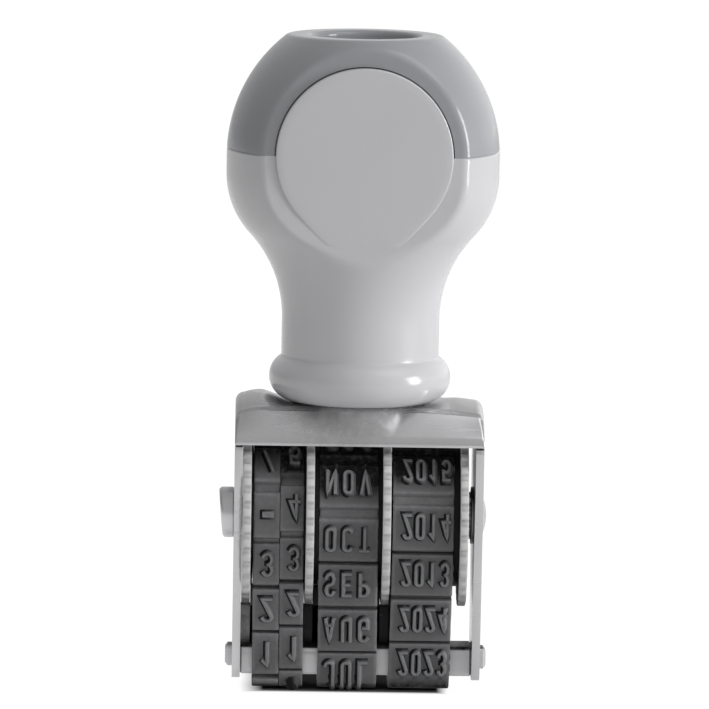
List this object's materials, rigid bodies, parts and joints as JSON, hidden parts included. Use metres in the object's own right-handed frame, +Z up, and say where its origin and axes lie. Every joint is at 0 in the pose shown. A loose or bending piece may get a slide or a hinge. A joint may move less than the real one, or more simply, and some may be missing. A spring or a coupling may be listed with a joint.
{
  "type": "date stamp",
  "caption": "Hand date stamp: bulb handle on a bent steel frame, with rubber day, month and year bands turned by thumbwheels on one axle and pressed down by a platen bar.",
  "frame": {"origin": "on the printing face of the bands, under the handle's axis", "axes": "+Z up along the handle, -Y to the front, the wheels' axle along X"},
  "size_m": [0.0355, 0.0248, 0.0851],
  "materials": {
    "body_plastic": "light grey moulded plastic, glossy",
    "cap_plastic": "mid grey moulded plastic, glossy",
    "plated_steel": "bright plated sheet steel with fine drawing marks",
    "axle_steel": "turned steel, satin",
    "washer_steel": "stamped steel, satin",
    "wheel_plastic": "light grey moulded plastic, satin",
    "platen_metal": "drawn bar, satin",
    "band_rubber": "dark grey moulded rubber, matt"
  },
  "bodies": {
    "root": {"handle_body": "body_plastic", "handle_cap": "cap_plastic", "handle_screw": "axle_steel", "spring_washer": "washer_steel", "frame": "plated_steel", "platen": "platen_metal", "axle": "axle_steel", "plain_washer": "washer_steel", "toothed_washer": "washer_steel", "tens_band": "band_rubber", "units_band": "band_rubber", "month_band": "band_rubber", "year_band": "band_rubber"},
    "tens_thumbwheel": {"tens_wheel": "wheel_plastic"},
    "units_thumbwheel": {"units_wheel": "wheel_plastic"},
    "month_thumbwheel": {"month_wheel": "wheel_plastic"},
    "year_thumbwheel": {"year_wheel": "wheel_plastic"}
  },
  "joints": [
    {"name": "tens_turn", "type": "hinge", "parent": "root", "child": "tens_thumbwheel", "pos_m": [-0.013, 0, 0.0225], "axis": [1, 0, 0], "continuous": true},
    {"name": "units_turn", "type": "hinge", "parent": "root", "child": "units_thumbwheel", "pos_m": [-0.008, 0, 0.0225], "axis": [1, 0, 0], "continuous": true},
    {"name": "month_turn", "type": "hinge", "parent": "root", "child": "month_thumbwheel", "pos_m": [-0.001, 0, 0.0225], "axis": [1, 0, 0], "continuous": true},
    {"name": "year_turn", "type": "hinge", "parent": "root", "child": "year_thumbwheel", "pos_m": [0.009, 0, 0.0225], "axis": [1, 0, 0], "continuous": true}
  ]
}
